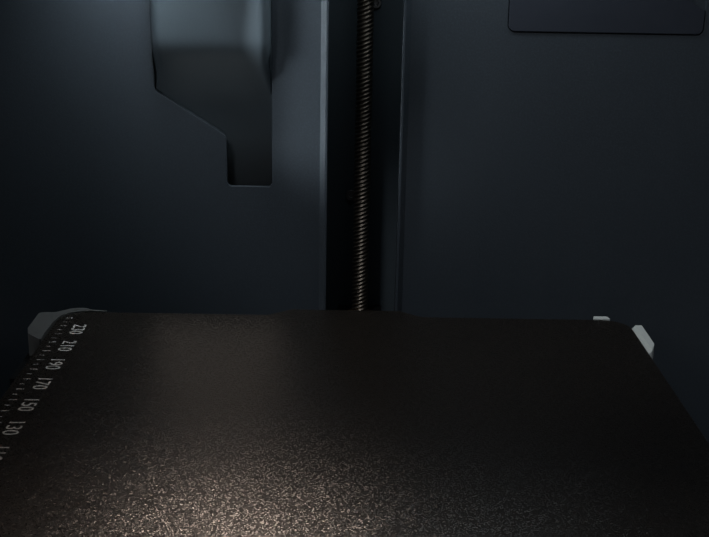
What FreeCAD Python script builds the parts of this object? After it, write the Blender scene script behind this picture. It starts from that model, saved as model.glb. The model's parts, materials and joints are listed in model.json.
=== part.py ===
import FreeCAD, Part
import math
import os
from FreeCAD import Vector as V

os.makedirs("parts", exist_ok=True)

# Enclosed desktop filament printer: a box-shaped cabinet with a belt driven head that moves in X and Y under the
# roof, and a heated bed that moves in Z on three lead screws.
# Frame: millimetres, +Z up, front towards -Y, right is +X. Origin: centre of the four feet, on the bench.

# ---------------------------------------------------------------- driving dimensions
W = 389.0            # cabinet width
D = 389.0            # cabinet depth
HX, HY = W / 2, D / 2
Z_FEET = 10.0        # height of the rubber feet
Z_BASE = 64.0        # top of the base tray
Z_FLOOR = 66.0       # top of the chamber floor
Z_PANEL = 398.0      # top of the side panels
Z_RING = 449.0       # top of the roof ring
Z_TOP = 457.0        # top of the glass lid
SKIN = 4.0           # thickness of side and rear panels
R_EDGE = 3.9         # radius of the upright edges

PX, PY = -4.0, -10.0     # centre of the build plate
PLATE = 257.0            # side of the square build plate
PLATE_T = 1.0
Z_PLATE = 185.0          # top of the build plate as stored
TAB_W, TAB_TOP_W, TAB_D = 70.0, 50.0, 8.0   # tab at the rear of the plate

Y_LINER = 150.0          # front face of the rear liner
LINER_T = 2.5
CH_L, CH_R = PX - 9.5, PX + 24.0    # slot for the rear lead screw
SCREW_R = 4.0
SCREW_X = 172.0          # side lead screws
REAR_SCREW = (PX + 7.2, 172.0)
ROD_Y = -42.0            # side guide rods

Z_ROD = 412.0            # height of both pairs of gantry rods
YROD_X = 178.0
GY, GX = 100.0, -45.0    # stored position of the gantry and of the head
NOZZLE_Z = 373.0
NOZZLE_DY = -29.2        # nozzle, in front of the gantry's centre line

DOOR_OPEN = 105.0        # the door is stored open by this angle
HINGE = (188.5, -200.0)

ZB = Z_PLATE             # short name for the plate's top

# ---------------------------------------------------------------- helpers


def box(x0, x1, y0, y1, z0, z1):
    return Part.makeBox(x1 - x0, y1 - y0, z1 - z0, V(x0, y0, z0))


def cyl(x, y, z, r, h, d=V(0, 0, 1)):
    return Part.makeCylinder(r, h, V(x, y, z), d)


def cone(x, y, z, r0, r1, h, d=V(0, 0, 1)):
    return Part.makeCone(r0, r1, h, V(x, y, z), d)


def ring(x, y, z, ro, ri, h, d=V(0, 0, 1)):
    return cyl(x, y, z, ro, h, d).cut(cyl(x, y, z, ri, h, d))


def fuse(items):
    s = items[0]
    if len(items) > 1:
        s = s.multiFuse(items[1:])
    return s.removeSplitter()


def cut(s, items):
    s = s.cut(items) if isinstance(items, list) else s.cut([items])
    return s.removeSplitter()


def poly(points, axis, start, length):
    """Closed polygon given in the two other axes, extruded along axis from start."""
    if axis == "x":
        pts = [V(start, a, b) for a, b in points]
        d = V(length, 0, 0)
    elif axis == "y":
        pts = [V(a, start, b) for a, b in points]
        d = V(0, length, 0)
    else:
        pts = [V(a, b, start) for a, b in points]
        d = V(0, 0, length)
    return Part.Face(Part.makePolygon(pts + [pts[0]])).extrude(d)


def edges_along(s, axis, test=None):
    out = []
    for e in s.Edges:
        if len(e.Vertexes) != 2:
            continue
        a, b = e.Vertexes[0].Point, e.Vertexes[1].Point
        d = b - a
        if d.Length < 1e-6:
            continue
        k = {"x": abs(d.x), "y": abs(d.y), "z": abs(d.z)}[axis]
        if k / d.Length > 0.9999 and isinstance(e.Curve, Part.Line):
            m = (a + b) * 0.5
            if test is None or test(m, d.Length):
                out.append(e)
    return out


def fillet(s, r, axis, test=None):
    es = edges_along(s, axis, test)
    if not es:
        return s
    return s.makeFillet(r, es)


def rbox(x0, x1, y0, y1, z0, z1, r, axis="z"):
    return fillet(box(x0, x1, y0, y1, z0, z1), r, axis)


def rpoly(points, radii, axis, start, length):
    """Polygon prism whose corners are rounded by the given radii (0 leaves a corner sharp)."""
    n = len(points)
    edges, prev_end = [], None
    first = None

    def to3(p):
        if axis == "x":
            return V(start, p[0], p[1])
        if axis == "y":
            return V(p[0], start, p[1])
        return V(p[0], p[1], start)

    segs = []
    for i in range(n):
        p0, p1, p2 = points[i - 1], points[i], points[(i + 1) % n]
        r = radii[i]
        u = (p0[0] - p1[0], p0[1] - p1[1])
        w = (p2[0] - p1[0], p2[1] - p1[1])
        lu, lw = math.hypot(*u), math.hypot(*w)
        u = (u[0] / lu, u[1] / lu)
        w = (w[0] / lw, w[1] / lw)
        if r <= 0:
            segs.append((p1, None, p1))
            continue
        cosang = max(-1.0, min(1.0, u[0] * w[0] + u[1] * w[1]))
        half = math.acos(cosang) / 2
        t = r / math.tan(half)
        a = (p1[0] + u[0] * t, p1[1] + u[1] * t)
        b = (p1[0] + w[0] * t, p1[1] + w[1] * t)
        bis = (u[0] + w[0], u[1] + w[1])
        lb = math.hypot(*bis)
        c = (p1[0] + bis[0] / lb * r / math.sin(half), p1[1] + bis[1] / lb * r / math.sin(half))
        m = (p1[0] - c[0], p1[1] - c[1])
        lm = math.hypot(*m)
        mid = (c[0] + m[0] / lm * r, c[1] + m[1] / lm * r)
        segs.append((a, mid, b))
    for i in range(n):
        a, mid, b = segs[i]
        nxt = segs[(i + 1) % n][0]
        if mid is not None:
            edges.append(Part.Arc(to3(a), to3(mid), to3(b)).toShape())
        if math.hypot(nxt[0] - b[0], nxt[1] - b[1]) > 1e-6:
            edges.append(Part.LineSegment(to3(b), to3(nxt)).toShape())
    wire = Part.Wire(edges)
    d = {"x": V(length, 0, 0), "y": V(0, length, 0), "z": V(0, 0, length)}[axis]
    return Part.Face(wire).extrude(d)


def hull2d(pts):
    pts = sorted(set(pts))

    def half(seq):
        out = []
        for p in seq:
            while len(out) >= 2 and (out[-1][0] - out[-2][0]) * (p[1] - out[-2][1]) - (out[-1][1] - out[-2][1]) * (p[0] - out[-2][0]) <= 0:
                out.pop()
            out.append(p)
        return out[:-1]

    return half(pts) + half(pts[::-1])


def belt(centres, r, t, z0, z1):
    """Flat belt of thickness t round equal pulleys of radius r at the given centres, in the XY plane."""
    h = hull2d(centres)

    def loop(rr):
        edges = []
        n = len(h)
        arcs = []
        for i in range(n):
            p, q = h[i], h[(i + 1) % n]
            L = math.hypot(q[0] - p[0], q[1] - p[1])
            nx, ny = (q[1] - p[1]) / L, -(q[0] - p[0]) / L
            arcs.append(((p[0] + nx * rr, p[1] + ny * rr), (q[0] + nx * rr, q[1] + ny * rr), (nx, ny)))
        for i in range(n):
            a, b, nn = arcs[i]
            c, _, mm = arcs[(i + 1) % n]
            edges.append(Part.LineSegment(V(a[0], a[1], z0), V(b[0], b[1], z0)).toShape())
            bx, by = nn[0] + mm[0], nn[1] + mm[1]
            lb = math.hypot(bx, by)
            if lb < 1e-6:
                dx, dy = b[0] - a[0], b[1] - a[1]
                ld = math.hypot(dx, dy)
                bx, by, lb = dx / ld, dy / ld, 1.0
            ctr = h[(i + 1) % n]
            mid = (ctr[0] + bx / lb * rr, ctr[1] + by / lb * rr)
            edges.append(Part.Arc(V(b[0], b[1], z0), V(mid[0], mid[1], z0), V(c[0], c[1], z0)).toShape())
        return Part.Face(Part.Wire(edges)).extrude(V(0, 0, z1 - z0))

    return loop(r + t).cut(loop(r))


def pulley(x, y, z, r, h, flange=1.6, bore=0.0):
    """Belt pulley with a flange at each end, its belt face between z and z + h."""
    s = fuse([cyl(x, y, z - 0.9, r + flange, 0.9), cyl(x, y, z, r, h), cyl(x, y, z + h, r + flange, 0.9)])
    if bore:
        s = cut(s, cyl(x, y, z - 2, bore, h + 4))
    return s


NODES = {}


def node(name, *solids):
    flat = []
    for s in solids:
        flat += s.Solids
    NODES[name] = Part.makeCompound(flat) if len(flat) > 1 else flat[0]


# ================================================================ cabinet
# base tray
outer = rbox(-HX, HX, -HY, HY, Z_FEET, Z_BASE, R_EDGE)
inner = rbox(-HX + 3, HX - 3, -HY + 3, HY - 3, Z_FEET + 3, Z_BASE + 1, 1.5)
tray = outer.cut(inner)
tray = tray.makeChamfer(1.5, [e for e in tray.Edges if abs(e.BoundBox.ZMax - Z_FEET) < 1e-6 and e.BoundBox.XLength > 300 and abs(abs(e.CenterOfMass.y) - HY) < 1e-3])
vents = []
for sx in (-1, 1):
    for i in range(12):
        y = -110 + i * 12
        vents.append(box(sx * HX - 4, sx * HX + 4, y, y + 3.4, Z_FEET + 14, Z_FEET + 40))
for i in range(10):
    vents.append(box(-150 + i * 12, -150 + i * 12 + 3.4, -150, -110, Z_FEET - 1, Z_FEET + 4))
tray = cut(tray, vents)
# panel mounts for the inlet and the switch, at the rear right
tray = cut(tray, [box(96, 124, HY - 5, HY + 5, 24, 46), box(136, 150, HY - 5, HY + 5, 26, 46)])
node("base_tray", tray)

node("rubber_feet", *[cyl(sx * 160, sy * 160, 0, 14, Z_FEET) for sx in (-1, 1) for sy in (-1, 1)])

floor = box(-HX + SKIN, HX - SKIN, -HY + 8, Y_LINER + 38, Z_BASE, Z_FLOOR)
floor = cut(floor, [cyl(-SCREW_X, 0, 60, 7, 10), cyl(SCREW_X, 0, 60, 7, 10), cyl(REAR_SCREW[0], REAR_SCREW[1], 60, 7, 10)])
node("chamber_floor", floor)

# upright posts behind the front bezel and behind the liner
posts = []
for sx in (-1, 1):
    x0, x1 = sorted((sx * (HX - SKIN), sx * (HX - SKIN - 14)))
    for y0, y1 in ((-HY + 8, -HY + 22), (HY - SKIN - 14, HY - SKIN)):
        p = box(x0, x1, y0, y1, Z_FLOOR, Z_PANEL)
        if y0 > 0:
            p = box(sorted((sx * (HX - SKIN), sx * (HX - SKIN - 2)))[0], sorted((sx * (HX - SKIN), sx * (HX - SKIN - 2)))[1], y0 - 20, y1, Z_FLOOR, 352)
        posts.append(p)
node("corner_posts", *posts)


def side_panel(sx):
    x0, x1 = sorted((sx * HX, sx * (HX - SKIN)))
    p = box(x0, x1, -HY + 8, HY, Z_BASE, Z_PANEL)
    p = fillet(p, R_EDGE, "z", lambda m, L: abs(m.x - sx * HX) < 0.1 and m.y > 0)
    slots = []
    for i in range(14):
        z = 150 + i * 9
        slots.append(rbox(x0 - 1, x1 + 1, 96, 150, z, z + 3.2, 1.5, "x"))
    # shallow pressed panel field on the outside
    xo = sx * HX
    a, b = sorted((xo, xo - sx * 1.2))
    slots.append(rbox(a - (1 if sx < 0 else 0), b + (1 if sx > 0 else 0), -160, 70, 96, 366, 14, "x"))
    return cut(p, slots)


node("left_side_panel", side_panel(-1))
node("right_side_panel", side_panel(1))

# rear outer panel with the waste exit, the exhaust grille and the spool holder's screws
rear = box(-HX + SKIN, HX - SKIN, HY - SKIN, HY, Z_BASE, Z_PANEL)
holes = []
for i in range(9):
    w = 26 if i in (0, 8) else (48 if i in (1, 7) else 56)
    z = 306 + i * 7
    holes.append(rbox(88 - w / 2, 88 + w / 2, HY - 6, HY + 1, z, z + 3.4, 1.6, "y"))
holes.append(box(PX - 54, PX - 37.5, HY - 6, HY + 1, 251, 279))
rear = cut(rear, holes)
node("rear_panel", rear)

# ---------------------------------------------------------------- rear liner: the wall seen behind the bed
liner = box(-HX + SKIN, HX - SKIN, Y_LINER, Y_LINER + LINER_T, Z_FLOOR, 395)
zc = ZB
cut_pts = [(PX - 88.7, 388), (PX - 88.7, zc + 96.6), (PX - 56.2, zc + 75.8), (PX - 56.2, zc + 52.3), (PX - 35.2, zc + 52.3), (PX - 35.2, 388)]
liner = liner.cut(rpoly(cut_pts, [0, 3.0, 3.5, 2.2, 2.2, 0], "y", Y_LINER - 2, 10))
liner = liner.cut(box(CH_L, CH_R, Y_LINER - 2, Y_LINER + 10, Z_FLOOR - 1, 384))
# opening behind the filter cover, with a step that the cover sits in
FX0, FX1, FZ0, FZ1 = PX + 71.3, PX + 159.0, ZB + 126.0, ZB + 196.0
liner = liner.cut(rbox(FX0 - 0.4, FX1 + 0.4, Y_LINER - 1, Y_LINER + 1.3, FZ0 - 0.4, FZ1 + 0.4, 3.4, "y"))
liner = liner.cut(box(FX0 + 6, 149, Y_LINER - 1, Y_LINER + 10, FZ0 + 7, FZ1 - 8))
# raised rim down both sides of the slot
for x0, s in ((CH_L, -1), (CH_R, 1)):
    rim = poly([(x0, Y_LINER), (x0, Y_LINER - 2.8), (x0 + s * 1.1, Y_LINER - 2.8), (x0 + s * 3.4, Y_LINER)], "z", Z_FLOOR, 384 - Z_FLOOR)
    liner = liner.fuse(rim)
top_rim = poly([(Y_LINER, 384), (Y_LINER - 2.8, 384), (Y_LINER - 2.8, 385.1), (Y_LINER, 387.4)], "x", CH_L - 1.1, CH_R - CH_L + 2.2)
liner = liner.fuse(top_rim).removeSplitter()
node("rear_liner", liner)

# dark channel behind the slot
c0, c1 = CH_L - 3.0, CH_R + 3.0
channel = cut(box(c0, c1, Y_LINER + LINER_T, 189.5, Z_FLOOR, 392), box(c0 + 1.5, c1 - 1.5, Y_LINER, 188.0, Z_FLOOR - 1, 390.5))
node("screw_channel", channel)

# purge chute: hood in front of the liner whose face curves back through the cut-out and closes it
HX0, HX1 = PX - 88.5, PX - 35.4
hood_front = Y_LINER - 9.5
face_line = [(0.0, 119.5), (0.3, 117.8), (1.0, 116.0), (2.1, 113.8), (4.7, 109.3), (7.7, 104.2), (10.5, 98.8), (12.9, 92.5), (14.7, 85.0), (16.0, 76.0), (16.9, 64.0), (17.5, 47.0)]
face_pts = [(hood_front + a, ZB + b) for a, b in face_line]
profile = [(190.0, 370), (hood_front, 370)] + face_pts + [(hood_front + 20.0, ZB + 47.0), (hood_front + 20.0, ZB + 71.0), (186.0, ZB + 57.0), (190.0, ZB + 57.0)]
slab = poly(profile, "x", HX0 - 6, HX1 - HX0 + 12)
plan = rpoly([(HX0, 195), (HX0, hood_front), (HX1, hood_front), (HX1, 195)], [0, 5, 5, 0], "z", ZB + 40, 200)
keep = rpoly([(PX - 88.6, 376), (PX - 88.6, ZB + 96.8), (PX - 56.1, ZB + 76.0), (PX - 56.1, ZB + 40), (PX - 35.3, ZB + 40), (PX - 35.3, 376)], [0, 2.9, 3.6, 0, 0, 0], "y", Y_LINER - 12, 60)
through = slab.common(plan).common(keep)
behind = slab.common(poly([(PX - 92, ZB + 94), (PX - 92, ZB + 92.5), (PX - 59.6, ZB + 72), (PX - 59.6, ZB + 47), (PX - 31.8, ZB + 47), (PX - 31.8, ZB + 94)], "y", Y_LINER + LINER_T + 0.1, 40))
t = 1.6
duct = poly([(Y_LINER + 1.0, 372), (hood_front + t, 372), (hood_front + t, ZB + 119), (Y_LINER + 1.0, ZB + 105), (188, ZB + 66), (188, 372)], "x", PX - 53.0, 14.5)
waste_exit = box(PX - 53, PX - 38.5, 187, 191, 252, 278)
# funnel in front of the hood, that the nozzle is cleared into
funnel = poly([(119.4, 368), (119.4, 360), (140.6, 342), (140.6, 368)], "x", PX - 58.0, 20.5)
funnel_in = poly([(120.6, 369), (120.6, 361.2), (140.0, 345.0), (143.5, 345.0), (143.5, 366), (140.0, 366), (140.0, 369)], "x", PX - 56.0, 16.5)
hood = through.fuse([behind, funnel]).cut([duct, waste_exit, funnel_in]).removeSplitter()
node("purge_chute", hood)

# filter cover flush in the liner, with a round finger notch
cover = rbox(FX0, FX1, Y_LINER - 0.9, Y_LINER + 1.2, FZ0, FZ1, 3.0, "y")
cover = cut(cover, cyl(PX + 160.5, Y_LINER - 2, ZB + 146.5, 9.6, 4, V(0, 1, 0)))
clip = box(FX0 + 9, FX0 + 13, Y_LINER + 1.2, Y_LINER + 4, 322, 370)
cartridge = box(FX0 + 8, 118, Y_LINER + 4, Y_LINER + 15, 322, 370)
node("filter_cover", fuse([cover, clip, cartridge]))

# ---------------------------------------------------------------- roof ring, front bezel
# made as a front, a rear and two side walls with a flat frame on top of them, and small seats and brackets inside
ringo = rbox(-HX, HX, -HY, HY, Z_PANEL, Z_RING, R_EDGE)
ringo = ringo.makeChamfer(1.6, [e for e in ringo.Edges if abs(e.BoundBox.ZMin - Z_RING) < 1e-6])
Z_FLAT = Z_RING - 6
WALL_F, WALL = 8.0, 5.0
topop = rbox(-HX + 16, HX - 16, -HY + 22, HY - 16, Z_RING - 7, Z_RING + 1, 4)
roof = ringo.common(box(-HX - 1, HX + 1, -HY - 1, HY + 1, Z_FLAT, Z_RING + 1)).cut(topop)
cells = [
    (-HX - 1, HX + 1, -HY - 1, -HY + WALL_F, Z_PANEL, Z_FLAT),
    (-HX - 1, HX + 1, HY - WALL, HY + 1, Z_PANEL, Z_FLAT),
    (-HX - 1, -HX + WALL, -HY + WALL_F, HY - WALL, Z_PANEL, Z_FLAT),
    (HX - WALL, HX + 1, -HY + WALL_F, HY - WALL, Z_PANEL, Z_FLAT),
]
# window for the display in the front
DX0, DX1, DZ0, DZ1 = 70.0, 176.0, 403.0, 443.0
window = box(DX0, DX1, -HY - 1, -HY + 6, DZ0, DZ1)
ring_parts = [ringo.common(box(*c)).cut(window) for c in cells]
for c in ((-HX - 1, HX + 1, -HY - 1, -HY + 22), (-HX - 1, HX + 1, HY - 16, HY + 1), (-HX - 1, 0, -HY + 22, HY - 16), (0, HX + 1, -HY + 22, HY - 16)):
    ring_parts.append(roof.common(box(*c, Z_FLAT - 1, Z_RING + 1)))
# seats for the Y rods
for sx in (-1, 1):
    for y0, y1 in ((-HY + WALL_F, -HY + 13), (HY - 13, HY - WALL)):
        seat = box(sx * YROD_X - 7, sx * YROD_X + 7, y0, y1, Z_ROD - 8, Z_ROD + 8)
        ring_parts.append(seat.cut(cyl(sx * YROD_X, -HY + 9, Z_ROD, 4.0, D - 18, V(0, 1, 0))))
# brackets and pins of the front idlers
for sx in (-1, 1):
    xs = sorted((sx * 161.0, sx * (HX - WALL)))
    ring_parts += [box(xs[0], xs[1], -HY + WALL_F, -167, 421, 425.2), cyl(sx * 170.0, -176.0, 425.2, 2.0, 17.8)]
node("top_frame", *ring_parts)

bez = []
bez.append(fillet(box(-HX, HX, -HY, -HY + 8, Z_BASE, Z_PANEL), R_EDGE, "z", lambda m, L: m.y < -HY + 1))
bezel = bez[0].cut(rbox(-171, 171, -HY - 1, -HY + 9, 84, 386, 8, "y"))
node("front_bezel", bezel)

disp = rbox(DX0 + 0.3, DX1 - 0.3, -HY - 1.2, -HY + 5.9, DZ0 + 0.3, DZ1 - 0.3, 3, "y")
disp = disp.cut(box(DX0 + 5, DX1 - 5, -HY - 2, -HY - 0.8, DZ0 + 5, DZ1 - 5))
node("display_screen", disp)

# ---------------------------------------------------------------- fixed mechanics
rods = [cyl(sx * YROD_X, -HY + 9.2, Z_ROD, 4.0, D - 18.4, V(0, 1, 0)) for sx in (-1, 1)]
rods += [cyl(sx * SCREW_X, ROD_Y, Z_FLOOR, 4.0, 372 - Z_FLOOR) for sx in (-1, 1)]
node("linear_rods", *rods)

PULX, PULYR, PULYF, PR = 170.0, 172.0, -176.0, 6.0
LV = ((428.0, 434.0), (436.0, 442.0))
motors = []
for sx in (-1, 1):
    body = rbox(sx * PULX - 17.5, sx * PULX + 17.5, 154.5, 189.5, 355, 393, 3)
    boss = ring(sx * PULX, PULYR, 393, 11, 4.0, 1.5)
    motors.append(body.fuse(boss))
zb = rbox(-17.5, 17.5, -77.5, -42.5, 13, 33, 3)
motors.append(zb)
node("stepper_motors", *motors)

belts = []
for sx in (-1, 1):
    for z0, z1 in LV:
        belts.append(belt([(sx * PULX, PULYR), (sx * PULX, PULYF)], PR + 0.15, 1.0, z0 + 0.2, z1 - 0.2))
zc_pts = [(-SCREW_X, 0.0), (SCREW_X, 0.0), REAR_SCREW, (0.0, -60.0)]
belts.append(belt(zc_pts, 8.15, 1.2, 37.2, 42.8))
node("timing_belts", *belts)

# bearing blocks: top and bottom of the three screws, top of the side rods
blocks = []
for sx in (-1, 1):
    b = box(min(sx * (SCREW_X - 10), sx * (HX - SKIN)), max(sx * (SCREW_X - 10), sx * (HX - SKIN)), ROD_Y - 10, 12, 372, 382)
    b = fillet(b, 4, "z", lambda m, L: abs(m.x) < HX - SKIN - 1)
    b = cut(b, [cyl(sx * SCREW_X, 0, 360, 4.1, 21)])
    blocks.append(b)
    lo = box(min(sx * (SCREW_X - 12), sx * (HX - SKIN)), max(sx * (SCREW_X - 12), sx * (HX - SKIN)), -14, 14, 48, 60)
    blocks.append(cut(lo, [cyl(sx * SCREW_X, 0, 40, 4.1, 30)]))
rb = box(REAR_SCREW[0] - 14, REAR_SCREW[0] + 14, 156, 187.5, 372, 384)
blocks.append(cut(rb, [cyl(REAR_SCREW[0], REAR_SCREW[1], 360, 4.1, 21)]))
rb2 = box(REAR_SCREW[0] - 14, REAR_SCREW[0] + 14, 158, 188, 48, 60)
blocks.append(cut(rb2, [cyl(REAR_SCREW[0], REAR_SCREW[1], 40, 4.1, 30)]))
node("screw_bearings", *blocks)

psu = rbox(-165, -45, -172, -96, 13, 50, 2)
node("power_supply", psu)
pcb = box(45, 165, -172, -96, 20, 21.6)
chips = [box(60, 82, -160, -138, 21.6, 25), box(100, 130, -150, -120, 21.6, 33), box(140, 160, -168, -104, 21.6, 31), box(50, 90, -112, -100, 21.6, 32)]
stand = [cyl(x, y, 13, 3.5, 7) for x in (50, 160) for y in (-167, -101)]
node("main_board", fuse([pcb] + chips + stand))

inlet = rbox(96.4, 123.6, HY - 18, HY + 1.2, 24.4, 45.6, 2, "y")
inlet = inlet.fuse(rbox(92, 128, HY, HY + 1.8, 20, 50, 3, "y"))
inlet = inlet.cut(rbox(99, 121, HY - 15, HY + 3, 27, 43, 3, "y"))
pins = [box(104, 106, HY - 16, HY - 6.5, 31, 34), box(114, 116, HY - 16, HY - 6.5, 31, 34), box(109, 111, HY - 16, HY - 6, 36.5, 39.5)]
node("power_inlet", fuse([inlet] + pins))

# exhaust fan behind the filter, and the blower on the left wall
ef = rbox(62, 114, 168, 188, 314, 366, 4, "y").cut(cyl(88, 167, 340, 24, 30, V(0, 1, 0)))
spider = [box(64, 112, 168, 170, 338.2, 341.8), box(86.2, 89.8, 168, 170, 316, 364), cyl(88, 168, 340, 11, 2, V(0, 1, 0))]
ef = fuse([ef] + spider)
ef = ef.cut(cyl(88, 167, 340, 2.08, 4, V(0, 1, 0)))
af_o = fuse([cyl(-HX + SKIN, 96, 250, 34, 22, V(1, 0, 0)), box(-HX + SKIN, -HX + SKIN + 22, 62, 96, 216, 250), box(-HX + SKIN, -HX + SKIN + 22, 40, 70, 216, 236)])
af = af_o.cut(cyl(-HX + SKIN + 2, 96, 250, 31, 18, V(1, 0, 0)))
af = af.cut(cyl(-HX + SKIN + 18, 96, 250, 21, 10, V(1, 0, 0)))
af = af.cut(box(-HX + SKIN + 2, -HX + SKIN + 20, 30, 90, 218, 234))
# exit of the blower faces the bed
node("fan_housings", ef, af)

# rotors
def rotor(cx, cy, cz, r_hub, r_tip, h, d, n, blade_t=1.2):
    hub = cyl(cx, cy, cz, r_hub, h, d)
    items = [hub]
    for i in range(n):
        a = i * 360.0 / n
        if abs(d.y) > 0.5:
            b = box(cx + r_hub - 1, cx + r_tip, cy + 0.6, cy + h - 0.6, cz - blade_t / 2, cz + blade_t / 2)
            b.rotate(V(cx, cy, cz), V(1, 0, 0), 32)
        else:
            b = box(cx + 0.6, cx + h - 0.6, cy + r_hub - 1, cy + r_tip, cz - blade_t / 2, cz + blade_t / 2)
            b.rotate(V(cx, cy + r_hub, cz), V(1, 0, 0), 18)
        b.rotate(V(cx, cy, cz), d, a)
        items.append(b)
    s = fuse(items)
    return s.common(cyl(cx, cy, cz, r_tip, h, d))


node("exhaust_fan_rotor", fuse([rotor(88, 171.0, 340, 9.5, 23.0, 14, V(0, 1, 0), 7), cyl(88, 168.8, 340, 2.0, 3, V(0, 1, 0))]))
node("blower_rotor", rotor(-HX + SKIN + 4, 96, 250, 16, 28, 12, V(1, 0, 0), 16))

# light bar on the left wall
lb = box(-HX + SKIN, -HX + SKIN + 7, -100, 20, 384, 393)
node("light_bar", lb)
# nozzle wiper beside the chute
wiper = fuse([box(-84, -68, 128, hood_front, 352, 366), box(-83, -69, 121, 130, 362, 366), box(-82, -70, 121.5, 127.5, 366, 371.5)])
node("nozzle_wiper", wiper)

# spool holder on the rear panel
sh = fuse([rbox(-60, -20, HY, HY + 5, 290, 350, 5, "y"), cyl(-40, HY, 320, 18, 78, V(0, 1, 0)), cyl(-40, HY + 72, 320, 23, 6, V(0, 1, 0))])
sh = sh.cut(cyl(-40, HY + 74.5, 320, 15, 80, V(0, 1, 0)))
node("spool_holder", sh)

# rear panel and bezel screws
screws = []
for x in (-175, 175):
    for z in (80, 160, 240, 330, 385):
        s = cyl(x, HY, z, 3.2, 1.6, V(0, 1, 0)).cut(cyl(x, HY + 0.6, z, 1.4, 2, V(0, 1, 0)))
        screws.append(s)
for x in (-120, -60, 60, 120):
    for z in (76, 390):
        s = cyl(x, HY, z, 3.2, 1.6, V(0, 1, 0)).cut(cyl(x, HY + 0.6, z, 1.4, 2, V(0, 1, 0)))
        screws.append(s)
for x, z in ((PX + 12.3, ZB + 134.7), (PX + 12.3, ZB - 60), (PX + 2, ZB + 40)):
    s = cyl(x, 188.0, z, 2.6, 1.4, V(0, -1, 0)).cut(cyl(x, 187.4, z, 1.2, 2, V(0, -1, 0)))
    screws.append(s)
node("panel_screws", *screws)

# power switch
sw = cyl(0, 0, 0, 10, 13.2, V(1, 0, 0)).common(box(-1, 20, -8.5, 8.5, -9.4, 9.4))
rocker = rbox(136.5, 149.5, HY - 4.5, HY + 1.6, 26.6, 45.4, 1.0, "x")
wedge = poly([(HY + 0.4, 36.0), (HY + 2.2, 36.0), (HY + 2.2, 46.5), (HY - 0.8 + 1.2, 46.5)], "x", 136, 14)
rocker = rocker.cut(poly([(HY + 1.7, 36.0), (HY + 0.2, 46.0), (HY + 3, 46.0)], "x", 136, 14))
rocker = rocker.cut(poly([(HY + 1.7, 36.0), (HY + 0.2, 26.0), (HY + 3, 26.0)], "x", 136, 14))
# pivots at its sides
rocker = rocker.fuse(cyl(136.1, 193.0, 36.0, 1.5, 13.8, V(1, 0, 0))).removeSplitter()
node("power_switch", rocker)

# ---------------------------------------------------------------- hinges and door (stored open)
brk = []
for z in (130.0, 330.0):
    b = box(178, 186.6, -HY - 1.4, -HY, z - 16, z + 16)
    b = b.fuse(box(183, HX - 4.0, -HY - 1.6, -HY, z - 16, z + 16))
    knuckle_lo = cyl(HINGE[0], HINGE[1], z - 16, 3.6, 8)
    knuckle_hi = cyl(HINGE[0], HINGE[1], z + 8, 3.6, 8)
    web1 = box(HINGE[0] - 1.6, HINGE[0] + 3.6, HINGE[1], -HY - 0.5, z - 16, z - 8)
    web2 = box(HINGE[0] - 1.6, HINGE[0] + 3.6, HINGE[1], -HY - 0.5, z + 8, z + 16)
    pin = cyl(HINGE[0], HINGE[1], z - 16, 1.6, 32)
    brk.append(fuse([b, knuckle_lo, knuckle_hi, web1, web2, pin]))
node("hinge_brackets", *brk)


def swing(s):
    s = s.copy()
    s.rotate(V(HINGE[0], HINGE[1], 0), V(0, 0, 1), DOOR_OPEN)
    return s


glass = rbox(-186, 180.5, -200.6, -196.6, 76, 396, 6, "y")
node("door_glass", swing(glass))
leaves = []
for z in (130.0, 330.0):
    l = fuse([cyl(HINGE[0], HINGE[1], z - 7.8, 3.5, 15.6), box(160, HINGE[0] - 1.5, -202.4, -200.6, z - 7.8, z + 7.8)])
    l = l.fuse(box(180.6, HINGE[0] - 1.5, -202.4, -198.6, z - 7.8, z + 7.8))
    l = cut(l, cyl(HINGE[0], HINGE[1], z - 20, 1.65, 40))
    leaves.append(swing(l))
node("door_hinges", *leaves)
hdl = fuse([box(-182, -174, -214, -200.6, 206, 212), box(-182, -174, -214, -200.6, 268, 274), rbox(-182, -174, -218, -211, 200, 280, 2.5, "z")])
node("door_handle", swing(hdl))

# ---------------------------------------------------------------- lid
lidg = rbox(-HX + 6, HX - 6, -HY + 6, HY - 6, Z_TOP - 4, Z_TOP, 12)
node("lid_glass", lidg)
lr = rbox(-HX + 8, HX - 8, -HY + 8, HY - 8, Z_RING, Z_TOP - 4, 11).cut(rbox(-HX + 20, HX - 20, -HY + 20, HY - 20, Z_RING - 1, Z_TOP, 6))
# four lengths, joined near the corners
strips = [(-HX, HX, -HY, -HY + 26), (-HX, HX, HY - 26, HY), (-HX, 0, -HY + 26, HY - 26), (0, HX, -HY + 26, HY - 26)]
node("lid_gasket", *[lr.common(box(*q, Z_RING - 1, Z_TOP)) for q in strips])

# ---------------------------------------------------------------- bed
zt = Z_PLATE - PLATE_T        # top of the heated bed
h2 = PLATE / 2
plate_pts = [(-h2, -h2 - 9), (-h2 + 70, -h2 - 9), (-h2 + 76, -h2 - 9), (h2 - 76, -h2 - 9), (h2, -h2 - 9), (h2, h2), (TAB_W / 2, h2), (TAB_TOP_W / 2, h2 + TAB_D), (-TAB_TOP_W / 2, h2 + TAB_D), (-TAB_W / 2, h2), (-h2, h2)]
plate_pts = [(-h2, -h2), (-46, -h2), (-38, -h2 - 10), (38, -h2 - 10), (46, -h2), (h2, -h2), (h2, h2), (TAB_W / 2, h2), (TAB_TOP_W / 2, h2 + TAB_D), (-TAB_TOP_W / 2, h2 + TAB_D), (-TAB_W / 2, h2), (-h2, h2)]
plate = rpoly([(x + PX, y + PY) for x, y in plate_pts], [7, 3, 3, 3, 3, 7, 12, 3, 3, 3, 3, 12], "z", zt, PLATE_T)
node("build_plate", plate)

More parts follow.
